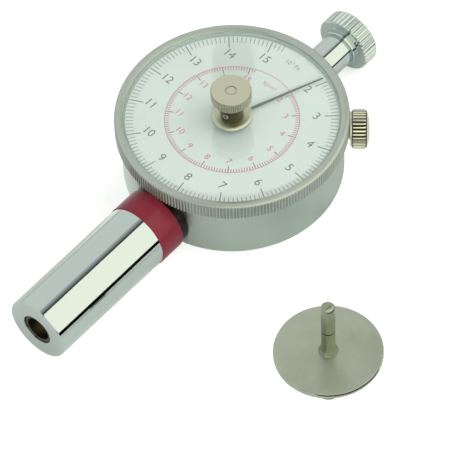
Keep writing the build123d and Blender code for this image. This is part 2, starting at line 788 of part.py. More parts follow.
nodes = {
    "case": case, "back_cover": back_cover, "cover_screws": cover_screws, "barrel": barrel,
    "red_band": red_band, "spring_seat": spring_seat, "stem": stem,
    "lower_bridge": lower_bridge, "upper_bridge": upper_bridge,
    "bridge_pillars": bridge_pillars, "bridge_screws": bridge_screws, "arbor_bushes": bushes,
    "bezel_snap_ring": bezel_snap_ring, "plunger": plunger, "rack_plate": rack_plate,
    "rack_pins": rack_pins, "guide_rod": guide_rod, "measuring_spring": measuring_spring,
    "arbor": arbor, "pinion": pinion, "drive_dog": drive_dog, "peak_hand": peak_hand,
    "hand_spindle": hand_spindle, "reset_knob": reset_knob, "knob_grub_screw": knob_grub_screw,
    "bezel": bezel, "dial": dial, "dial_ring": dial_ring, "window": window,
    "window_bush": window_bush, "knob_washer": knob_washer, "clamp_washer": clamp_washer,
    "clamp_screw": clamp_screw, "stem_cap": stem_cap, "indenter_shank": indenter_shank,
    "guard_disc": guard_disc,
}
os.makedirs("parts", exist_ok=True)
for name, make in nodes.items():
    export_step(make(), f"parts/{name}.step")
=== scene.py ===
"""Look of a pocket penetrometer and its measuring pin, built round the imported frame.

Sizes are real ones. Those times mm are in metres, Blender's unit, and the half outlines of
turned pieces are in plain millimetres. In a material, a noise texture's scale is its number of
grains per millimetre, and a ring texture repeats every 0.314 mm divided by its scale.
"""

from math import atan2, cos, hypot, pi, radians, sin, tau

import bmesh
import bpy
from mathutils import Matrix, Quaternion, Vector

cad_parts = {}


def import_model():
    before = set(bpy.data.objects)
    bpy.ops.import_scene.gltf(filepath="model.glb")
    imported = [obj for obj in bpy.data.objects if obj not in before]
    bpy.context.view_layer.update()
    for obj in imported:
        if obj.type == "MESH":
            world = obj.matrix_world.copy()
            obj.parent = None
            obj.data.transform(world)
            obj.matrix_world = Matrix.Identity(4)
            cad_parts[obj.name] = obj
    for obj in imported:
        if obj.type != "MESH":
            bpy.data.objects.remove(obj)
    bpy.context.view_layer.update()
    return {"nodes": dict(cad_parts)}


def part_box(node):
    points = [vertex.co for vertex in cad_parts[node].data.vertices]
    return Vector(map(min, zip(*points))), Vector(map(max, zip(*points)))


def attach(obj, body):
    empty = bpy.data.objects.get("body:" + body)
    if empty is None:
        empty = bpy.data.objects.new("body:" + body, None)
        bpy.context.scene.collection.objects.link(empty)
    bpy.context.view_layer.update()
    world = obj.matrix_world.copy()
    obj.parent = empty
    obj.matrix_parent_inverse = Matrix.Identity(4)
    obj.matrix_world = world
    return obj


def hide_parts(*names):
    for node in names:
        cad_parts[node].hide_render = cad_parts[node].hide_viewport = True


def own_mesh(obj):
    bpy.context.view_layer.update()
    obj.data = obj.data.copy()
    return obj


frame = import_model()
mm = 0.001

# Camera
lens_mm = 339.34
camera_distance = 1083.3 * mm
camera_elevation = 52.803
camera_azimuth = 42.647
camera_roll = -2.442
camera_target = Vector((10.255, -15.473, 0.25)) * mm

# Axes of the tester and of its separate measuring pin, read from the frame
band_low, band_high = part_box("red_band")
plunger_z = (band_low.z + band_high.z) / 2
disc_low, disc_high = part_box("guard_disc")
disc_centre = (disc_low + disc_high) / 2
clamp_low, clamp_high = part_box("clamp_screw")
clamp_z = (clamp_low.z + clamp_high.z) / 2
clamp_angle = radians(39.5)
to_barrel = Matrix.Translation((0, 0, plunger_z)) @ Matrix.Rotation(pi / 2, 4, "X")
to_stem = Matrix.Translation((0, 0, plunger_z)) @ Matrix.Rotation(-pi / 2, 4, "X")
to_clamp = (Matrix.Translation((0, 0, clamp_z)) @ Matrix.Rotation(clamp_angle, 4, "Z")
            @ Matrix.Rotation(pi / 2, 4, "Y"))
to_indenter = Matrix.Translation((disc_centre.x, disc_centre.y, 0))


def turned_size(node, axis="z"):
    """Radius and both ends, in millimetres, of a node turned about an axis of the tester."""
    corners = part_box(node)
    ends = sorted(abs(getattr(corner, axis)) for corner in corners)
    return [round(length / mm, 3) for length in (corners[1].x, *ends)]


# Turned sizes in millimetres. An end is a height over the back, or a distance from the dial's
# axis along the barrel or the stem. The disc and the pin stand off these axes, so only their
# ends are taken from the frame.
rim_r, rim_low, rim_high = turned_size("bezel")
dial_seat = turned_size("dial")[1]
ring_r, ring_low, ring_high = turned_size("dial_ring")
window_low, window_high = turned_size("window")[1:]
window_bore_r = 2.0
bush_r, bush_low, bush_high = turned_size("window_bush")
knob_r, neck_low, knob_high = turned_size("reset_knob")
neck_r = 3.0
knob_bore_r = 0.8
knob_low = 29.05
clamp_r = 5.05
case_face = 27.3
barrel_r, barrel_root_end, barrel_mouth = turned_size("barrel", "y")
band_r, band_near, band_far = turned_size("red_band", "y")
band_seat_r = 8.5
barrel_spigot_r = 6.3
stem_r, stem_root_end, stem_end = turned_size("stem", "y")
stem_shoulder = 43.7
stem_spigot_r = 3.7
cap_r, collar_end, cap_end = turned_size("stem_cap", "y")
disc_r = 13.65
disc_hub_r = 2.5
disc_under, disc_face = turned_size("guard_disc")[1:]
pin_r = 1.75
pin_end = turned_size("indenter_shank")[2]

# Straight knurls: how much of the cut's depth each point across one rib is drawn in
sharp_rib = (0.0, 0.0, 1.0, 1.0)
fine_rib = (0.0, 0.15, 1.0, 0.15)
round_rib = (0.0, 0.0, 0.12, 0.75, 1.0, 1.0, 0.75, 0.12)

# Printed scales: the bezel stands turned, so that value 2 lies under the hand at rest
print_t = 0.012 * mm
print_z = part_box("dial")[1].z + print_t / 2
first_value = 2
last_value = 15
first_value_angle = 90 - 23.635
degrees_per_value = 24.495
ticks_per_value = 10
ticks_past_last = 3
inner_scale_share = 0.981
outer_scale_r = 27.0 * mm
inner_scale_r = 17.1 * mm
dial_turn = radians(-3)
cap_share = 0.729       # height of a figure as a share of the text's size


def linear(code):
    """RGBA in linear light from an sRGB hex colour."""
    shares = [int(code[i:i + 2], 16) / 255 for i in (1, 3, 5)]
    return [c / 12.92 if c <= 0.04045 else ((c + 0.055) / 1.055) ** 2.4 for c in shares] + [1]


def add_node(tree, kind, settings, links=()):
    """One shader node, with its properties or input values set and its inputs linked."""
    made = tree.nodes.new(kind)
    for name, value in settings.items():
        if isinstance(name, int) or name in made.inputs:
            made.inputs[name].default_value = value
        else:
            setattr(made, name, value)
    for name, source in dict(links).items():
        tree.links.new(made.inputs[name], source)
    return made


def new_material(name, stretch=(1, 1, 1), turn=(0, 0, 0), centre=(0, 0, 0)):
    """A material, its tree, its shader, and object coordinates in millimetres about a centre."""
    material = bpy.data.materials.new(name)
    material.use_nodes = True
    tree = material.node_tree
    shader = tree.nodes["Principled BSDF"]
    place = add_node(tree, "ShaderNodeTexCoord", {})
    centred = add_node(tree, "ShaderNodeVectorMath", {"operation": "SUBTRACT", 1: centre},
                       {0: place.outputs["Object"]})
    scale = [share / mm for share in stretch]
    mapped = add_node(tree, "ShaderNodeMapping", {"Rotation": turn, "Scale": scale},
                      {"Vector": centred.outputs[0]})
    return material, tree, shader, mapped.outputs[0]


def colour_between(tree, shader, low, high, mask):
    """Base colour that drifts between two hex colours."""
    blend = add_node(tree, "ShaderNodeMix", {"data_type": "RGBA", 6: linear(low), 7: linear(high)},
                     {0: mask})
    tree.links.new(shader.inputs["Base Color"], blend.outputs[2])


def roughness_between(tree, shader, low, high, mask):
    """Roughness that drifts between two values."""
    spread = add_node(tree, "ShaderNodeMapRange", {"To Min": low, "To Max": high},
                      {"Value": mask})
    tree.links.new(shader.inputs["Roughness"], spread.outputs[0])


def bumped(tree, shader, height, depth_mm):
    """Fine relief, as deep as the height times a size in millimetres."""
    relief = add_node(tree, "ShaderNodeBump", {"Distance": depth_mm * mm, "Strength": 1.0},
                      {"Height": height})
    tree.links.new(shader.inputs["Normal"], relief.outputs[0])


def distance_off_axis(tree, at):
    """How far in millimetres the surface lies from the pattern's Z axis."""
    flat = add_node(tree, "ShaderNodeVectorMath", {"operation": "MULTIPLY", 1: (1, 1, 0)}, {0: at})
    radius = add_node(tree, "ShaderNodeVectorMath", {"operation": "LENGTH"},
                      {0: flat.outputs[0]})
    return radius.outputs["Value"]


def ribs_shaded(tree, shader, at, crest, depth, light, dark, reach=1.0):
    """Base colour as a painted highlight on a knurl's crests and painted shade in its valleys, by
    radius.

    A stop's place is a share of twice the depth: the valley's floor is at 0.5, the crest at 1.
    """
    share = add_node(tree, "ShaderNodeMapRange", {"From Min": crest - 2 * depth,
                     "From Max": crest}, {"Value": distance_off_axis(tree, at)})
    ramp = add_node(tree, "ShaderNodeValToRGB", {}, {0: share.outputs[0]})
    stops = ((0.0, light), (0.38, light), (0.44, dark), (0.62, dark), (0.5 + 0.5 * reach, light))
    while len(ramp.color_ramp.elements) < len(stops):
        ramp.color_ramp.elements.new(0.5)
    for element, (place, colour) in zip(ramp.color_ramp.elements, stops):
        element.position = place
        element.color = linear(colour)
    tree.links.new(shader.inputs["Base Color"], ramp.outputs[0])


def brushed_round(tree, shader, amount, rotation):
    """Highlights drawn out by the turning marks that run round the dial's or the pin's axis."""
    shader.inputs["Anisotropic"].default_value = amount
    shader.inputs["Anisotropic Rotation"].default_value = rotation
    tangent = add_node(tree, "ShaderNodeTangent", {"direction_type": "RADIAL", "axis": "Z"})
    tree.links.new(shader.inputs["Tangent"], tangent.outputs[0])


def linished_case():
    """Satin-plated light alloy, linished up and down: broad soft highlights and upright grain."""
    material, tree, shader, at = new_material("satin_plated_alloy", stretch=(1, 1, 0.05))
    grain = add_node(tree, "ShaderNodeTexNoise", {"Scale": 2.2, "Detail": 3.0}, {"Vector": at})
    cloud = add_node(tree, "ShaderNodeTexNoise", {"Scale": 0.12, "Detail": 2.0}, {"Vector": at})
    colour_between(tree, shader, "#A4B2A7", "#B5C1B6", cloud.outputs[0])
    roughness_between(tree, shader, 0.33, 0.45, grain.outputs[0])
    bumped(tree, shader, grain.outputs[0], 0.012)
    shader.inputs["Metallic"].default_value = 1.0
    return material


def turned_cover():
    """Turned light alloy: fine rings round the dial's axis, each a little duller or brighter."""
    material, tree, shader, at = new_material("turned_alloy")
    rings = add_node(tree, "ShaderNodeTexWave", {
        "wave_type": "RINGS", "rings_direction": "Z", "Scale": 0.9, "Distortion": 0.4,
        "Detail": 2.0}, {"Vector": at})
    roughness_between(tree, shader, 0.28, 0.4, rings.outputs[1])
    bumped(tree, shader, rings.outputs[1], 0.006)
    shader.inputs["Base Color"].default_value = linear("#BFC7C2")
    shader.inputs["Metallic"].default_value = 1.0
    return material


def satin_nickel_rim():
    """Satin nickel plating on the rim: brushed round its flat, with painted shade between its
    ribs.
    """
    material, tree, shader, at = new_material("satin_nickel_rim")
    rings = add_node(tree, "ShaderNodeTexWave", {
        "wave_type": "RINGS", "rings_direction": "Z", "Scale": 1.6, "Distortion": 0.05},
        {"Vector": at})
    # Painted shade in the valleys of the ribs and a painted highlight on their crests
    ribs_shaded(tree, shader, at, crest=rim_r, depth=0.24, light="#B4BEB3", dark="#99A49D")
    roughness_between(tree, shader, 0.3, 0.42, rings.outputs[1])
    bumped(tree, shader, rings.outputs[1], 0.004)
    shader.inputs["Metallic"].default_value = 1.0
    brushed_round(tree, shader, amount=0.8, rotation=0.25)
    return material


def satin_nickel_plain():
    """Warmer satin nickel on the small plain turnings: the window's bush and the washers."""
    material, tree, shader, at = new_material("satin_nickel_plain")
    cloud = add_node(tree, "ShaderNodeTexNoise", {"Scale": 0.8, "Detail": 3.0}, {"Vector": at})
    colour_between(tree, shader, "#B6B8A0", "#C6C9B2", cloud.outputs[0])
    roughness_between(tree, shader, 0.3, 0.42, cloud.outputs[0])
    shader.inputs["Metallic"].default_value = 1.0
    return material


def bright_chrome():
    """Buffed chrome plating: a clear mirror with the faint waviness of the polished tube."""
    material, tree, shader, at = new_material("bright_chrome_plate", stretch=(1, 0.15, 1))
    wave = add_node(tree, "ShaderNodeTexNoise", {"Scale": 0.5, "Detail": 2.0}, {"Vector": at})
    haze = add_node(tree, "ShaderNodeTexNoise", {"Scale": 1.8, "Detail": 4.0}, {"Vector": at})
    roughness_between(tree, shader, 0.035, 0.08, haze.outputs[0])
    bumped(tree, shader, wave.outputs[0], 0.006)
    shader.inputs["Base Color"].default_value = linear("#BECAC4")
    shader.inputs["Metallic"].default_value = 1.0
    return material


def red_enamel():
    """Stoved crimson enamel: deep even colour under a glossy skin, a little uneven in the film."""
    material, tree, shader, at = new_material("crimson_enamel")
    film = add_node(tree, "ShaderNodeTexNoise", {"Scale": 0.7, "Detail": 3.0}, {"Vector": at})
    colour_between(tree, shader, "#761427", "#861C31", film.outputs[0])
    roughness_between(tree, shader, 0.3, 0.4, film.outputs[0])
    bumped(tree, shader, film.outputs[0], 0.01)
    shader.inputs["Specular IOR Level"].default_value = 0.3
    shader.inputs["Coat Weight"].default_value = 0.04
    shader.inputs["Coat Roughness"].default_value = 0.12
    return material


def marked_metal(name, dark, light, rough=(0.22, 0.36), scale=1.4):
    """Plain metal with short fine marks that run every way, so its gloss is slightly uneven."""
    material, tree, shader, at = new_material(name)
    marks = add_node(tree, "ShaderNodeTexNoise", {"Scale": scale, "Detail": 5.0,
                                                  "Distortion": 0.6}, {"Vector": at})
    colour_between(tree, shader, dark, light, marks.outputs[0])
    roughness_between(tree, shader, *rough, marks.outputs[0])
    bumped(tree, shader, marks.outputs[0], 0.006)
    shader.inputs["Metallic"].default_value = 1.0
    return material


def turned_stainless():
    """Turned stainless steel of the disc: fine rings, a few dull rubs, small dents, and an edge
    polished to a mirror."""
    centre = (disc_centre.x, disc_centre.y, 0)
    material, tree, shader, at = new_material("turned_stainless", centre=centre)
    rings = add_node(tree, "ShaderNodeTexWave", {
        "wave_type": "RINGS", "rings_direction": "Z", "Scale": 1.3, "Distortion": 0.6,
        "Detail": 3.0, "Detail Scale": 2.0}, {"Vector": at})
    rubs = add_node(tree, "ShaderNodeTexNoise", {"Scale": 0.16, "Detail": 4.0}, {"Vector": at})
    dents = add_node(tree, "ShaderNodeTexVoronoi", {"Scale": 0.24, "Randomness": 1.0},
                     {"Vector": at})
    pits = add_node(tree, "ShaderNodeMapRange", {"From Min": 0.0, "From Max": 0.09},
                    {"Value": dents.outputs["Distance"]})
    height = add_node(tree, "ShaderNodeMath", {"operation": "MULTIPLY_ADD", 1: 0.15},
                      {0: rings.outputs[1], 2: pits.outputs[0]})
    worn = add_node(tree, "ShaderNodeMath", {"operation": "MULTIPLY"},
                    {0: rubs.outputs[0], 1: pits.outputs[0]})
    colour_between(tree, shader, "#9AA28E", "#BEC4B2", worn.outputs[0])
    edge = add_node(tree, "ShaderNodeMapRange", {
        "From Min": disc_r - 0.23, "From Max": disc_r - 0.17, "To Min": 1.0, "To Max": 0.15},
        {"Value": distance_off_axis(tree, at)})
    dull = add_node(tree, "ShaderNodeMapRange", {"To Min": 0.24, "To Max": 0.38},
                    {"Value": rubs.outputs[0]})
    finish = add_node(tree, "ShaderNodeMath", {"operation": "MULTIPLY"},
                      {0: dull.outputs[0], 1: edge.outputs[0]})
    tree.links.new(shader.inputs["Roughness"], finish.outputs[0])
    bumped(tree, shader, height.outputs[0], 0.02)
    shader.inputs["Metallic"].default_value = 1.0
    brushed_round(tree, shader, amount=0.75, rotation=0.0)
    return material


def dull_nickel_knob():
    """Dull nickel plating on the knob: beige and soft, with painted shade between its fine ribs.
    """
    material, tree, shader, at = new_material("dull_nickel")
    cloud = add_node(tree, "ShaderNodeTexNoise", {"Scale": 0.9, "Detail": 4.0}, {"Vector": at})
    grit = add_node(tree, "ShaderNodeTexNoise", {"Scale": 6.0, "Detail": 2.0}, {"Vector": at})
    # Painted shade down between the ribs and a painted highlight on their crests
    ribs_shaded(tree, shader, at, crest=knob_r, depth=0.18, light="#C8C8B1", dark="#848575")
    roughness_between(tree, shader, 0.28, 0.4, cloud.outputs[0])
    bumped(tree, shader, grit.outputs[0], 0.006)
    shader.inputs["Metallic"].default_value = 1.0
    return material


def bright_nickel():
    """Bright nickel plating: a warm mirror whose ribs are divided by nearly black lines of painted
    shade.
    """
    material, tree, shader, at = new_material(
        "bright_nickel", turn=(pi / 2, clamp_angle - pi / 2, 0), centre=(0, 0, clamp_z))
    haze = add_node(tree, "ShaderNodeTexNoise", {"Scale": 1.5, "Detail": 3.0}, {"Vector": at})
    # Nearly black painted shade in the ribs' valleys, light on the crests
    ribs_shaded(tree, shader, at, crest=clamp_r, depth=0.35, light="#D0D1BA", dark="#24221A",
                reach=0.8)
    roughness_between(tree, shader, 0.1, 0.18, haze.outputs[0])
    bumped(tree, shader, haze.outputs[0], 0.004)
    shader.inputs["Metallic"].default_value = 1.0
    return material


def dial_paint():
    """White stoved paint on the dial: matt, with the slight tooth of a sprayed coat."""
    material, tree, shader, at = new_material("white_dial_paint")
    tooth = add_node(tree, "ShaderNodeTexNoise", {"Scale": 5.0, "Detail": 2.0}, {"Vector": at})
    cloud = add_node(tree, "ShaderNodeTexNoise", {"Scale": 0.06, "Detail": 2.0}, {"Vector": at})
    colour_between(tree, shader, "#D5DAD5", "#E0E4E0", cloud.outputs[0])
    roughness_between(tree, shader, 0.5, 0.62, tooth.outputs[0])
    bumped(tree, shader, tooth.outputs[0], 0.004)
    return material


def oiled_bore():
    """Oiled steel of the plunger: brown and glossy in its bore, and near-black on its end face."""
    material, tree, shader, at = new_material("oiled_bore_steel")
    marks = add_node(tree, "ShaderNodeTexNoise", {"Scale": 1.0, "Detail": 4.0}, {"Vector": at})
    split = add_node(tree, "ShaderNodeSeparateXYZ", {}, {0: at})
    end_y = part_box("plunger")[0].y / mm
    inside = add_node(tree, "ShaderNodeMapRange", {"From Min": end_y + 0.15,
                      "From Max": end_y + 0.4}, {"Value": split.outputs["Y"]})
    colour_between(tree, shader, "#3A332B", "#97907F", inside.outputs[0])
    roughness_between(tree, shader, 0.18, 0.3, marks.outputs[0])
    shader.inputs["Metallic"].default_value = 1.0
    return material


def matt_film(name, dark, light):
    """Printing ink or thin paint: a matt film, a little lighter where it is thin."""
    material, tree, shader, at = new_material(name)
    film = add_node(tree, "ShaderNodeTexNoise", {"Scale": 3.0, "Detail": 2.0}, {"Vector": at})
    colour_between(tree, shader, dark, light, film.outputs[0])
    roughness_between(tree, shader, 0.45, 0.6, film.outputs[0])
    return material


def clear_acrylic():
    """Cast acrylic window: clear and glossy, with a trace of haze. Light passes it to the dial."""
    material, tree, shader, at = new_material("clear_acrylic")
    haze = add_node(tree, "ShaderNodeTexNoise", {"Scale": 0.08, "Detail": 3.0}, {"Vector": at})
    roughness_between(tree, shader, 0.005, 0.03, haze.outputs[0])
    shader.inputs["Base Color"].default_value = linear("#FBFFFC")
    shader.inputs["Transmission Weight"].default_value = 1.0
    shader.inputs["IOR"].default_value = 1.49
    output = tree.nodes["Material Output"]
    path = add_node(tree, "ShaderNodeLightPath", {})
    lighting = add_node(tree, "ShaderNodeMath", {"operation": "MAXIMUM"}, {
        0: path.outputs["Is Shadow Ray"], 1: path.outputs["Is Diffuse Ray"]})
    clear = add_node(tree, "ShaderNodeBsdfTransparent", {"Color": linear("#F6FAF7")})
    mixed = add_node(tree, "ShaderNodeMixShader", {}, {
        0: lighting.outputs[0], 1: shader.outputs[0], 2: clear.outputs[0]})
    tree.links.new(output.inputs["Surface"], mixed.outputs[0])
    return material


def start_piece():
    """Nothing is selected, so an operator acts on the new piece alone."""
    if bpy.context.object and bpy.context.object.mode != "OBJECT":
        bpy.ops.object.mode_set(mode="OBJECT")
    bpy.ops.object.select_all(action="DESELECT")


def joined(parts):
    """Several meshes made one, under the first one's name."""
    start_piece()
    for part in parts:
        part.select_set(True)
    bpy.context.view_layer.objects.active = parts[0]
    if len(parts) > 1:
        bpy.ops.object.join()
    return parts[0]


def finish_piece(piece, name, material, body, replaced=None, place=None):
    """Puts the place into the mesh, smooths it, gives it its finish and seats it on its body."""
    if place is not None:
        piece.matrix_world = place @ piece.matrix_world
    start_piece()
    piece.select_set(True)
    bpy.context.view_layer.objects.active = piece
    bpy.ops.object.transform_apply(location=True, rotation=True, scale=True)
    bpy.ops.object.shade_smooth_by_angle(angle=radians(32))
    piece.name = name
    piece.data.name = name
    piece.data.materials.clear()
    piece.data.materials.append(material)
    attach(piece, body)
    if replaced:
        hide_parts(replaced)
    return piece


def softened(outline):
    """Corners (radius, height, rounding) turned into points, with a curve where one is rounded."""
    steps = 4
    points = []
    for n, (r, z, rounding) in enumerate(outline):
        corner = Vector((r, z))
        if not rounding:
            points.append(corner)
            continue
        before = Vector(outline[n - 1][:2]) - corner
        after = Vector(outline[(n + 1) % len(outline)][:2]) - corner
        start = corner + before.normalized() * rounding
        end = corner + after.normalized() * rounding
        for step in range(steps + 1):
            t = step / steps
            points.append(start * (1 - t) ** 2 + corner * 2 * t * (1 - t) + end * t ** 2)
    return points


def lathe(outline, steps):
    """A closed half outline, drawn point by point and spun round Z."""
    points = [p * mm for p in softened(outline)]
    start_piece()
    bpy.ops.mesh.primitive_plane_add(size=mm, location=(0, 0, 0))
    bpy.ops.object.mode_set(mode="EDIT")
    bpy.ops.mesh.select_all(action="SELECT")
    bpy.ops.mesh.merge(type="CENTER")
    bpy.ops.transform.translate(value=(points[0].x, 0, points[0].y))
    for here, there in zip(points, points[1:] + points[:1]):
        step = there - here
        bpy.ops.mesh.extrude_region_move(
            TRANSFORM_OT_translate={"value": (step.x, 0, step.y)})
    bpy.ops.mesh.select_all(action="SELECT")
    bpy.ops.mesh.remove_doubles(threshold=0.0005 * mm)
    bpy.ops.mesh.spin(steps=steps, angle=tau, center=(0, 0, 0), axis=(0, 0, 1))
    bpy.ops.mesh.select_all(action="SELECT")
    bpy.ops.mesh.remove_doubles(threshold=0.0005 * mm)
    bpy.ops.mesh.normals_make_consistent(inside=False)
    bpy.ops.object.mode_set(mode="OBJECT")
    return bpy.context.object


def knurled(outline, ribs, profile, radius, depth):
    """A turned piece with straight ribs: columns of its outer points are drawn in to a profile.

    profile gives, for each point across one rib, how much of the depth it is drawn in.
    """
    piece = lathe(outline, ribs * len(profile))
    radius, depth = radius * mm, depth * mm
    columns = ribs * len(profile)
    groups = {}
    for vertex in piece.data.vertices:
        at = vertex.co
        share = profile[round(atan2(at.y, at.x) / tau * columns) % len(profile)]
        wanted = radius - depth * share
        here = hypot(at.x, at.y)
        if share and here > wanted + 1e-7:
            groups.setdefault((round(here / mm, 4), share), []).append(vertex.index)
    bpy.ops.object.mode_set(mode="EDIT")
    for (here, share), chosen in groups.items():
        bpy.ops.mesh.select_all(action="DESELECT")
        grid = bmesh.from_edit_mesh(piece.data)
        grid.verts.ensure_lookup_table()
        for index in chosen:
            grid.verts[index].select = True
        shrink = (radius - depth * share) / (here * mm)
        bpy.ops.transform.resize(value=(shrink, shrink, 1), center_override=(0, 0, 0))
    bpy.ops.object.mode_set(mode="OBJECT")
    return piece


def bezel():
    """Knurled rim: sharp ribs run right out at its top edge, under a slightly crowned rim."""
    seat_r, lip_r, lip_low = 27.48, 26.6, 18.95
    outline = [
        (seat_r, rim_low, 0), (rim_r, rim_low, 0.15), (rim_r, rim_high - 0.45, 0.12),
        (rim_r - 0.95, rim_high - 0.03, 0.3), (rim_r - 1.4, rim_high, 0.2),
        (ring_r, rim_high - 0.35, 0.1), (ring_r, dial_seat, 0),
        (lip_r, dial_seat, 0), (lip_r, lip_low, 0), (seat_r, lip_low, 0)]
    piece = knurled(outline, ribs=220, profile=sharp_rib, radius=rim_r, depth=0.22)
    return finish_piece(piece, "knurled_bezel", nickel_rim, "bezel", "bezel")


def dial_ring():
    """Matt painted ring that holds the dial, seen as a soft grey band inside the rim."""
    inner_r, outer_r = 27.2, ring_r - 0.02
    low, high = ring_low + 0.01, ring_high - 0.03
    outline = [(inner_r, low, 0), (outer_r, low, 0), (outer_r, high, 0),
               (inner_r + 0.1, high, 0.06), (inner_r, high - 0.12, 0.05)]
    return finish_piece(lathe(outline, steps=200), "painted_dial_ring", ring_paint, "bezel",
                        "dial_ring")


def window():
    """Clear disc that fills the rim's inner wall, its top edge slightly broken."""
    edge_r = ring_r - 0.01
    outline = [(window_bore_r, window_low, 0), (edge_r, window_low, 0),
               (edge_r, window_high, 0.05), (window_bore_r, window_high, 0)]
    return finish_piece(lathe(outline, steps=200), "clear_window", acrylic, "bezel",
                        "window")


def window_bush():
    """Bush through the window: a domed flange above it, a thin collar below."""
    bore_r, collar_r = 0.85, 2.9
    outline = [
        (bore_r, bush_low, 0), (collar_r, bush_low, 0), (collar_r, window_low, 0),
        (window_bore_r, window_low, 0), (window_bore_r, window_high, 0),
        (bush_r, window_high, 0.1), (bush_r, bush_high - 0.35, 0.2),
        (bush_r - 0.6, bush_high, 0.4), (bore_r, bush_high, 0)]
    return finish_piece(lathe(outline, steps=96), "window_bush_domed", plain_nickel, "bezel",
                        "window_bush")


def reset_knob():
    """Finely knurled knob, with a small recess in its flat top for the riveted spindle."""
    chamfer = 0.25
    recess_r, recess_depth = 1.45, 0.4
    outline = [
        (knob_bore_r, knob_low, 0), (knob_r - 0.23, knob_low, 0.1),
        (knob_r, knob_low + chamfer, 0.05), (knob_r, knob_high - chamfer, 0.05),
        (knob_r - chamfer, knob_high, 0.1), (recess_r, knob_high, 0.08),
        (recess_r - 0.09, knob_high - recess_depth, 0), (knob_bore_r, knob_high - recess_depth, 0)]
    piece = knurled(outline, ribs=72, profile=fine_rib, radius=knob_r, depth=0.18)
    return finish_piece(piece, "reset_knob_knurled", dull_nickel, "peak_hand",
                        "reset_knob")


def knob_neck():
    """Plain neck of the knob, coloured dark brown, in its own material."""
    top = knob_low + 0.05
    outline = [(knob_bore_r, neck_low, 0), (neck_r, neck_low, 0.12), (neck_r, top, 0),
               (knob_bore_r, top, 0)]
    return finish_piece(lathe(outline, steps=96), "knob_neck_dark", neck_dark_steel, "peak_hand",
                        "reset_knob")


def grub_screw():
    """Grub screw in the knob's neck: a bright ring round its dark socket."""
    screw_r, low, high = 0.78, neck_r - 0.6, neck_r + 0.12
    socket_r, socket_depth = 0.44, 0.37
    height, angle = 24.6 * mm, radians(-80)
    outline = [
        (0, low, 0), (screw_r, low, 0), (screw_r, high, 0.08), (socket_r, high, 0.04),
        (socket_r - 0.04, high - socket_depth, 0), (0, high - socket_depth, 0)]
    place = (Matrix.Translation((0, 0, height)) @ Matrix.Rotation(angle, 4, "Z")
             @ Matrix.Rotation(pi / 2, 4, "Y"))
    return finish_piece(lathe(outline, steps=32), "knob_grub_screw_end", screw_steel, "peak_hand",
                        "knob_grub_screw", place)


def clamp_screw():
    """Thumb screw: deep round ribs, a domed end, and a plain shank into the case."""
    shank_r, shank_end, head, dome = 1.0, 26.33, 30.48, 35.03
    outline = [
        (0, shank_end, 0), (shank_r - 0.2, shank_end, 0), (shank_r, shank_end + 0.22, 0),
        (shank_r, head, 0), (clamp_r - 0.3, head, 0.1), (clamp_r, head + 0.32, 0.1),
        (clamp_r, 33.75, 0.15), (4.6, 34.35, 0.3), (2.6, 34.92, 0.8), (0, dome, 0)]
    piece = knurled(outline, ribs=32, profile=round_rib, radius=clamp_r, depth=0.3)
    return finish_piece(piece, "clamp_screw_knurled", warm_nickel, "clamp_screw",
                        "clamp_screw", to_clamp)


def stem_cap():
    """Screw cap: broad round ribs between two bright chamfers, with a plain collar in front."""
    gap, end_gap = 0.03, 0.05
    bore_r, thread_r = stem_r + gap, stem_spigot_r + gap
    collar_r, head = 5.3, 43.76
    shoulder, bore_end = stem_shoulder + end_gap, stem_end + end_gap
    outline = [
        (bore_r, collar_end, 0), (collar_r - 0.15, collar_end, 0.08),
        (collar_r, collar_end + 0.16, 0.05), (collar_r, head, 0.1), (cap_r - 0.42, head, 0.12),
        (cap_r, head + 0.39, 0.08), (cap_r, cap_end - 0.46, 0.08), (cap_r - 0.47, cap_end, 0.12),
        (0, cap_end, 0), (0, bore_end, 0), (thread_r, bore_end, 0), (thread_r, shoulder, 0),
        (bore_r, shoulder, 0)]
    piece = knurled(outline, ribs=40, profile=round_rib, radius=cap_r, depth=0.35)
    return finish_piece(piece, "stem_cap_knurled", chrome, "stem_cap",
                        "stem_cap", to_stem)


barrel_root_top = band_near - 0.05


def barrel():
    """Chromed barrel with softly broken edges at its mouth and its front face."""
    mouth_bore_r, spring_bore_r, bore_step = 4.33, 5.5, 62.0
    outline = [
        (mouth_bore_r, barrel_mouth, 0.08), (barrel_r - 0.25, barrel_mouth, 0.15),
        (barrel_r, barrel_mouth - 0.3, 0.1), (barrel_r, band_far, 0),
        (band_seat_r, band_far, 0), (band_seat_r, barrel_root_top, 0),
        (barrel_spigot_r, barrel_root_top, 0), (barrel_spigot_r, barrel_root_end, 0),
        (spring_bore_r, barrel_root_end, 0), (spring_bore_r, bore_step, 0),
        (mouth_bore_r, bore_step, 0)]
    return finish_piece(lathe(outline, steps=160), "chromed_barrel", chrome, "frame",
                        "barrel", to_barrel)


def barrel_root():
    """Seat of the barrel, sunk between the band and the case, coloured near-black as painted
    shade.
    """
    outline = [(barrel_spigot_r, case_face, 0), (band_seat_r, case_face, 0),
               (band_seat_r, barrel_root_top, 0), (barrel_spigot_r, barrel_root_top, 0)]
    return finish_piece(lathe(outline, steps=160), "barrel_root_painted_shade", painted_seat_shade, "frame",
                        "barrel", to_barrel)


def red_band():
    """Enamelled band round the barrel, its ends rounded by the thickness of the paint."""
    outline = [(band_seat_r, band_near, 0), (band_r, band_near, 0.09), (band_r, band_far, 0.09),
               (band_seat_r, band_far, 0)]
    return finish_piece(lathe(outline, steps=160), "enamelled_band", enamel, "frame",
                        "red_band", to_barrel)


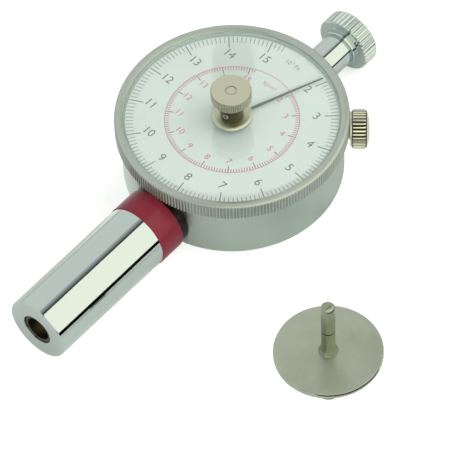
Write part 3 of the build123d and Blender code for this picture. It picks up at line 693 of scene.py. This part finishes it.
def measuring_spring():
    """Round wire wound between collar and seat, built at one length: here it doesn't shorten as
    the plunger goes in.
    """
    low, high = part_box("measuring_spring")
    wire, turns, travel = 1.0 * mm, 9.5, 10.1 * mm
    wire_sides, steps_per_turn = 12, 28
    length = high.y - low.y
    start_piece()
    bpy.ops.mesh.primitive_circle_add(
        vertices=wire_sides, radius=wire / 2, rotation=(pi / 2, 0, 0),
        location=((high.x - low.x - wire) / 2, 0, wire / 2 - high.y))
    coil = bpy.context.object
    bpy.ops.object.transform_apply(location=True, rotation=True, scale=True)
    winding = coil.modifiers.new("winding", "SCREW")
    winding.axis = "Z"
    winding.angle = turns * tau
    winding.screw_offset = length - wire
    winding.steps = winding.render_steps = round(turns * steps_per_turn)
    bpy.ops.object.modifier_apply(modifier="winding")
    bpy.ops.object.mode_set(mode="EDIT")
    bpy.ops.mesh.select_all(action="SELECT")
    bpy.ops.mesh.fill_holes(sides=0)
    bpy.ops.mesh.select_all(action="SELECT")
    bpy.ops.mesh.normals_make_consistent(inside=False)
    bpy.ops.object.mode_set(mode="OBJECT")
    coil = finish_piece(coil, "wound_measuring_spring", spring_steel, "frame",
                        "measuring_spring", to_barrel)
    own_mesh(coil)


def stem():
    """Chromed tube of the rear guide, narrower at its end for the cap."""
    bore_r, spigot_r = 2.38, 3.9
    outline = [
        (bore_r, stem_root_end, 0), (spigot_r, stem_root_end, 0), (spigot_r, case_face, 0),
        (stem_r, case_face, 0), (stem_r, stem_shoulder, 0.1), (stem_spigot_r, stem_shoulder, 0),
        (stem_spigot_r, stem_end, 0.2), (bore_r, stem_end, 0)]
    return finish_piece(lathe(outline, steps=120), "chromed_stem", chrome, "frame",
                        "stem", to_stem)


def guard_disc():
    """Thin turned disc: its narrow chamfered edge mirrors the horizon as a fine dark line."""
    outline = [
        (disc_hub_r, disc_under, 0), (disc_r - 0.2, disc_under, 0.1),
        (disc_r, disc_under + 0.2, 0.1), (disc_r, disc_face - 0.42, 0.03),
        (disc_r - 0.15, disc_face - 0.04, 0.03), (disc_r - 0.25, disc_face, 0.03),
        (disc_hub_r, disc_face, 0)]
    return finish_piece(lathe(outline, steps=200), "guard_disc_turned", stainless, "indenter",
                        "guard_disc", to_indenter)


def indenter_shank():
    """Measuring pin on its foot: rounded tip, a fine depth groove, and a flare at the disc."""
    foot_r, groove_r = 3.3, 1.4
    groove_low, groove_high = 25.3, 25.68
    outline = [
        (0, 0, 0), (foot_r - 0.4, 0, 0.1), (foot_r, 0.4, 0.1), (foot_r, disc_under, 0),
        (disc_hub_r, disc_under, 0), (disc_hub_r, disc_face + 0.15, 0.08), (1.95, 18.2, 0.3),
        (pin_r, 19.6, 0.4), (pin_r, groove_low, 0), (groove_r, groove_low + 0.02, 0),
        (groove_r, groove_high - 0.02, 0), (pin_r, groove_high, 0), (pin_r, pin_end - 0.8, 0.3),
        (pin_r - 0.5, pin_end - 0.18, 0.3), (0, pin_end, 0)]
    return finish_piece(lathe(outline, steps=120), "measuring_pin", pin_steel, "indenter",
                        "indenter_shank", to_indenter)


def hand_blade():
    """Slim tapered blade with rounded long edges, which slopes and then dips to the dial."""
    root, bend, tip = 2.0 * mm, 20.0 * mm, 26.2 * mm
    low, thick, slope, drop = 20.95 * mm, 0.2 * mm, 0.1 * mm, 0.2 * mm
    root_w, tip_w = 0.95 * mm, 0.36 * mm

    def width(x):
        return root_w + (tip_w - root_w) * (x - root) / (tip - root)

    start_piece()
    bpy.ops.mesh.primitive_cube_add(size=1, location=(root, 0, low + thick / 2),
                                    scale=(0.02 * mm, root_w, thick))
    blade = bpy.context.object
    bpy.ops.object.transform_apply(location=True, rotation=True, scale=True)
    bpy.ops.object.mode_set(mode="EDIT")
    for start, end, fall in ((root, bend, slope), (bend, tip, drop)):
        bpy.ops.mesh.select_all(action="DESELECT")
        grid = bmesh.from_edit_mesh(blade.data)
        far = max(v.co.x for v in grid.verts)
        for face in grid.faces:
            if all(v.co.x > far - 1e-6 for v in face.verts):
                face.select_set(True)
        bpy.ops.mesh.extrude_region_move(
            TRANSFORM_OT_translate={"value": (end - start, 0, -fall)})
        bpy.ops.transform.resize(value=(1, width(end) / width(start), 1),
                                 center_override=(0, 0, 0))
    bpy.ops.mesh.select_all(action="DESELECT")
    grid = bmesh.from_edit_mesh(blade.data)
    for edge in grid.edges:
        a, b = edge.verts
        if abs(a.co.x - b.co.x) > mm and edge.calc_face_angle() > 1:
            edge.select_set(True)
    bpy.ops.mesh.bevel(offset=0.08 * mm, segments=2)
    bpy.ops.object.mode_set(mode="OBJECT")
    return blade


def peak_hand():
    """Blued hand: its blade, the hub on the spindle, and the peg that the drive dog pushes."""
    hand_angle = radians(68.8)
    peg_distance = 2 * mm
    blade = hand_blade()
    blade.matrix_world = Matrix.Rotation(hand_angle, 4, "Z")
    bpy.ops.object.transform_apply(location=True, rotation=True, scale=True)
    hub = lathe([(0.8, 20.9, 0), (2.5, 20.9, 0.05), (2.5, 21.1, 0.05), (0.8, 21.1, 0)], steps=64)
    peg = lathe([(0, 19.9, 0), (0.3, 19.9, 0.05), (0.3, 20.95, 0), (0, 20.95, 0)], steps=24)
    peg.matrix_world = Matrix.Translation((peg_distance * cos(hand_angle),
                                           peg_distance * sin(hand_angle), 0))
    return finish_piece(joined([blade, hub, peg]), "blued_hand", blued, "peak_hand",
                        "peak_hand")


def scale_angle(value):
    """Direction of a value on the dial, in radians from the X axis."""
    return radians(first_value_angle - (value - first_value) * degrees_per_value)


def on_circle(value, radius):
    """Where a value's figure stands on a circle round the dial's axis."""
    angle = scale_angle(value)
    return radius * cos(angle), radius * sin(angle)


def printed_ticks(name, ink, values, inner, outer, width):
    """Radial strokes of ink at the given values, one stroke copied round the dial."""
    start_piece()
    bpy.ops.mesh.primitive_cube_add(size=1, location=((inner + outer) / 2, 0, print_z),
                                    scale=(outer - inner, width, print_t))
    stroke = bpy.context.object
    bpy.ops.object.transform_apply(location=True, rotation=True, scale=True)
    strokes = [stroke]
    for _ in values[1:]:
        copy = bpy.data.objects.new("stroke", stroke.data.copy())
        bpy.context.collection.objects.link(copy)
        strokes.append(copy)
    for each, value in zip(strokes, values):
        each.matrix_world = Matrix.Rotation(scale_angle(value), 4, "Z")
    return finish_piece(joined(strokes), name, ink, "bezel")


def printed_words(name, ink, words, height):
    """Figures or units of ink: (text, x, y) each, upright on the dial."""
    pieces = []
    for text, x, y in words:
        start_piece()
        bpy.ops.object.text_add(location=(x, y, print_z - print_t / 2))
        piece = bpy.context.object
        piece.data.body = text
        piece.data.align_x = "CENTER"
        piece.data.align_y = "CENTER"
        piece.data.size = height / cap_share
        piece.data.extrude = print_t / 2
        piece.data.resolution_u = 3
        piece.rotation_euler.z = dial_turn
        bpy.ops.object.convert(target="MESH")
        pieces.append(bpy.context.object)
    return finish_piece(joined(pieces), name, ink, "bezel")


def outer_scale(values, minor):
    """Scale in grey-black: its strokes, its figures, and its unit with a raised power."""
    long_inner_r, short_inner_r, figure_r = 23.5 * mm, 25.1 * mm, 21.4 * mm
    unit_y, power_y = 23.3 * mm, 23.9 * mm
    printed_ticks("outer_scale_long_ticks", black_ink, values, long_inner_r, outer_scale_r,
                  width=0.26 * mm)
    printed_ticks("outer_scale_short_ticks", grey_ink, minor, short_inner_r, outer_scale_r,
                  width=0.2 * mm)
    printed_words("outer_scale_figures", black_ink,
                  [(str(v), *on_circle(v, figure_r)) for v in values], height=2.45 * mm)
    printed_words("outer_scale_unit", grey_ink, [
        ("10", -1.0 * mm, unit_y), ("Pa", 1.95 * mm, unit_y)], height=1.35 * mm)
    printed_words("outer_scale_unit_power", grey_ink, [("5", 0.5 * mm, power_y)],
                  height=0.85 * mm)


def inner_scale(values, minor):
    """Scale in red, with its figures, its unit and the thin circle that its strokes hang from."""
    long_inner_r, short_inner_r, figure_r = 15.1 * mm, 16.1 * mm, 13.6 * mm
    last_minor = last_value + 0.25
    printed_ticks("inner_scale_long_ticks", dark_red_ink, [inner_scale_share * v for v in values],
                  long_inner_r, inner_scale_r, width=0.24 * mm)
    printed_ticks("inner_scale_short_ticks", red_ink,
                  [inner_scale_share * v for v in minor if v < last_minor],
                  short_inner_r, inner_scale_r, width=0.2 * mm)
    printed_words("inner_scale_figures", pale_red_ink,
                  [(str(v), *on_circle(inner_scale_share * v, figure_r)) for v in values],
                  height=1.8 * mm)
    printed_words("inner_scale_unit", pale_red_ink, [("kg/cm\u00b2", 0.4 * mm, 14.3 * mm)],
                  height=1.1 * mm)
    inner_r = inner_scale_r / mm
    outer_r = inner_r + 0.13
    z = print_z / mm
    t = print_t / mm / 2
    ring = lathe([(inner_r, z - t, 0), (outer_r, z - t, 0), (outer_r, z + t, 0),
                  (inner_r, z + t, 0)], steps=220)
    finish_piece(ring, "inner_scale_circle", red_ink, "bezel")


def dial_print():
    """Both printed scales, which run a little past their last value."""
    values = list(range(first_value, last_value + 1))
    count = (last_value - first_value) * ticks_per_value + ticks_past_last
    minor = [first_value + n / ticks_per_value for n in range(1, count + 1)
             if n % ticks_per_value]
    outer_scale(values, minor)
    inner_scale(values, minor)


# Finishes
alloy = linished_case()
cover_alloy = turned_cover()
nickel_rim = satin_nickel_rim()
chrome = bright_chrome()
enamel = red_enamel()
tool_steel = marked_metal("ground_tool_steel", "#8D9089", "#A5A8A0")
spring_steel = marked_metal("drawn_spring_wire", "#6E706E", "#85877F", (0.3, 0.45), 2.0)
brass = marked_metal("turned_brass", "#B79A5C", "#C9AE72", (0.2, 0.32), 1.0)
screw_steel = marked_metal("zinc_plated_screws", "#9FA3A0", "#B4B8B3", (0.25, 0.4), 1.8)
blued = marked_metal("blued_hand_steel", "#2F3B3D", "#3D4A4B", (0.25, 0.35), 1.2)
neck_dark_steel = marked_metal("dark_neck_steel", "#45432F", "#565440", (0.16, 0.26), 1.0)
# Near-black steel: painted shade on the barrel's seat, where the band meets the case
painted_seat_shade = marked_metal("painted_shade_steel", "#2B2624", "#3A3330", (0.25, 0.38), 1.0)
oiled_steel = oiled_bore()
ring_paint = matt_film("matt_grey_ring_paint", "#8E9C93", "#98A69C")
plain_nickel = satin_nickel_plain()
stainless = turned_stainless()
pin_steel = marked_metal("turned_pin_steel", "#8E9683", "#A0A794", (0.24, 0.34), 0.7)
dull_nickel = dull_nickel_knob()
warm_nickel = bright_nickel()
white_paint = dial_paint()
acrylic = clear_acrylic()
black_ink = matt_film("black_dial_ink", "#434C46", "#535C56")
grey_ink = matt_film("grey_dial_ink", "#717B74", "#838C85")
red_ink = matt_film("red_dial_ink", "#AE3449", "#BC4A5C")
dark_red_ink = matt_film("dark_red_dial_ink", "#7A3A45", "#8A4A53")
pale_red_ink = matt_film("pale_red_dial_ink", "#C25A69", "#CE707D")

finishes = {
    "case": alloy, "back_cover": cover_alloy, "cover_screws": screw_steel,
    "spring_seat": brass, "lower_bridge": brass, "upper_bridge": brass,
    "bridge_pillars": brass, "bridge_screws": screw_steel, "arbor_bushes": brass,
    "bezel_snap_ring": spring_steel,
    "plunger": oiled_steel, "rack_plate": tool_steel, "rack_pins": tool_steel,
    "guide_rod": tool_steel, "arbor": tool_steel, "pinion": brass, "drive_dog": brass,
    "hand_spindle": dull_nickel, "dial": white_paint,
    "knob_washer": plain_nickel, "clamp_washer": plain_nickel,
}
for node, finish in finishes.items():
    mesh = frame["nodes"][node].data
    mesh.materials.clear()
    mesh.materials.append(finish)

for make in (bezel, dial_ring, window, window_bush, reset_knob, knob_neck, grub_screw,
             clamp_screw, stem_cap, barrel, barrel_root, red_band, measuring_spring, stem,
             guard_disc, indenter_shank, peak_hand, dial_print):
    make()


# Stage: floor, world, camera, lamps, and cards that only bright metal sees. A level is light
# given off, where 1 is white, and the stage's own places are in metres.
floor_size = 6.0
floor_lift = 0.62
floor_mirror_lift = 0.14
world_light = 0.62
world_mirror_level = 0.92


def direction(azimuth, elevation):
    """Unit vector from the tester towards a place in the studio, by two angles in degrees."""
    azimuth, elevation = radians(azimuth), radians(elevation)
    return Vector((sin(azimuth) * cos(elevation), -cos(azimuth) * cos(elevation),
                   sin(elevation)))


def seen_by_eye(tree):
    """The light path, and 1 for what the camera sees straight on or through the window."""
    path = add_node(tree, "ShaderNodeLightPath", {})
    seen = add_node(tree, "ShaderNodeMath", {"operation": "MAXIMUM"}, {
        0: path.outputs["Is Camera Ray"], 1: path.outputs["Is Transmission Ray"]})
    return path, seen


def white_floor():
    """Pale sweep that looks white in a picture and still takes the object's shadow."""
    material = bpy.data.materials.new("white_sweep")
    material.use_nodes = True
    tree = material.node_tree
    output = tree.nodes["Material Output"]
    tree.nodes.remove(tree.nodes["Principled BSDF"])
    path, seen = seen_by_eye(tree)
    paper = add_node(tree, "ShaderNodeBsdfDiffuse", {"Color": linear("#DCDFDC")})
    mirrored = add_node(tree, "ShaderNodeMath", {"operation": "MULTIPLY", 1: floor_mirror_lift},
                        {0: path.outputs["Is Glossy Ray"]})
    lift = add_node(tree, "ShaderNodeMath", {"operation": "MULTIPLY_ADD", 1: floor_lift},
                    {0: seen.outputs[0], 2: mirrored.outputs[0]})
    glow = add_node(tree, "ShaderNodeEmission", {"Color": (1, 1, 1, 1)},
                    {"Strength": lift.outputs[0]})
    both = add_node(tree, "ShaderNodeAddShader", {}, {0: paper.outputs[0], 1: glow.outputs[0]})
    tree.links.new(output.inputs["Surface"], both.outputs[0])
    bpy.ops.mesh.primitive_plane_add(size=floor_size, location=(0, 0, 0))
    floor = bpy.context.object
    floor.name = "floor"
    floor.data.materials.append(material)


def world():
    """White surroundings for the eye and for bright metal, and a plain level of light."""
    made = bpy.data.worlds.new("white_surround")
    bpy.context.scene.world = made
    made.use_nodes = True
    tree = made.node_tree
    path, seen = seen_by_eye(tree)
    mirrored = add_node(tree, "ShaderNodeMath", {
        "operation": "MULTIPLY_ADD", 1: world_mirror_level}, {
        0: path.outputs["Is Glossy Ray"], 2: seen.outputs[0]})
    level = add_node(tree, "ShaderNodeMath", {"operation": "MAXIMUM", 1: world_light},
                     {0: mirrored.outputs[0]})
    background = tree.nodes["Background"]
    background.inputs["Color"].default_value = (1, 1, 1, 1)
    tree.links.new(background.inputs["Strength"], level.outputs[0])


def camera():
    """The view down on the tester from beside its barrel's mouth, through a long lens."""
    back = direction(camera_azimuth, camera_elevation)
    data = bpy.data.cameras.new("camera")
    data.sensor_width = 36.0
    data.lens = lens_mm
    data.clip_start = 0.01
    data.clip_end = 20.0
    made = bpy.data.objects.new("camera", data)
    bpy.context.collection.objects.link(made)
    made.location = camera_target + back * camera_distance
    level = back.to_track_quat("Z", "Y")
    made.rotation_mode = "QUATERNION"
    made.rotation_quaternion = level @ Quaternion((0, 0, 1), radians(camera_roll))
    bpy.context.scene.camera = made


def lamp(name, angles, distance, size, power):
    """A round soft white lamp that looks at the tester and isn't seen in reflections."""
    data = bpy.data.lights.new(name, "AREA")
    data.shape = "DISK"
    data.size = size
    data.energy = power
    light = bpy.data.objects.new(name, data)
    bpy.context.collection.objects.link(light)
    away = direction(*angles)
    light.location = camera_target + away * distance
    light.rotation_euler = away.to_track_quat("Z", "Y").to_euler()
    light.visible_glossy = False


def card(name, corners, colour, level):
    """A flat card seen only in reflections: a lit panel, or a dark flag where its level is low."""
    mesh = bpy.data.meshes.new(name)
    mesh.from_pydata(corners, [], [(0, 1, 2, 3)])
    material = bpy.data.materials.new(name)
    material.use_nodes = True
    tree = material.node_tree
    glow = add_node(tree, "ShaderNodeEmission", {"Color": linear(colour), "Strength": level})
    tree.links.new(tree.nodes["Material Output"].inputs["Surface"], glow.outputs[0])
    mesh.materials.append(material)
    panel = bpy.data.objects.new(name, mesh)
    bpy.context.collection.objects.link(panel)
    panel.visible_camera = False
    panel.visible_diffuse = False
    panel.visible_shadow = False
    panel.visible_transmission = False
    panel.visible_volume_scatter = False


def long_card(name, angles, distance, colour, level):
    """A card along the barrel's axis, between two angles above the horizon on its right."""
    near, far = -1.4, 1.4
    low, high = (radians(angle) for angle in angles)
    corners = [(distance * cos(a), y, plunger_z + distance * sin(a))
               for a, y in ((low, near), (low, far), (high, far), (high, near))]
    card(name, corners, colour, level)


def upright_card(name, heights, colour, level):
    """A small card right of the barrel, which keeps the measuring pin out of its mirror."""
    x, near, far = 35 * mm, -72 * mm, -34 * mm
    low, high = heights
    card(name, [(x, near, low), (x, far, low), (x, far, high), (x, near, high)], colour, level)


def floor_card(name, across, along, colour, level):
    """A card that lies just over the floor."""
    z = 0.5 * mm
    (left, right), (near, far) = across, along
    card(name, [(left, near, z), (right, near, z), (right, far, z), (left, far, z)], colour, level)


def studio():
    """Two lamps, and what the chrome mirrors: a lit panel on its right, and dark flags round it.

    The flags over the panel step up from dark, so the mirror fades out along the barrel's top.
    """
    warm_white, cool_white, black = "#FFFDF0", "#F4FAFF", "#101010"
    panel_level, panel_distance = 1.5, 0.6
    horizon, panel_top, disc_height = 4.2, 82, 15.6 * mm
    long_card("lit_panel", (horizon, panel_top), panel_distance, warm_white, panel_level)
    long_card("dark_flag_low", (-1.0, horizon), 0.55, black, 0.0)
    upright_card("lit_card_before_pin", (disc_height, 27.5 * mm), warm_white, panel_level)
    upright_card("dark_card_before_pin", (9.0 * mm, disc_height), black, 0.0)
    for low, high, level in ((82, 85, 0.03), (85, 89, 0.14), (89, 94, 0.34), (94, 100, 0.6)):
        long_card("dark_flag_high_{}".format(low), (low, high), panel_distance, cool_white, level)
    floor_card("dark_strip_over_floor", (0.1, 0.56), (-1.4, 1.4), black, 0.0)
    floor_card("bright_strip_beside_case", (-0.09, -0.015), (-0.03, 0.03), "#FFFFFF", 1.1)
    lamp("key_lamp", (125, 62), distance=0.42, size=0.3, power=0.5)
    lamp("hand_lamp", (40, 32), distance=0.9, size=0.05, power=2.8)


camera()
world()
white_floor()
studio()

bpy.context.scene.view_settings.view_transform = "Standard"
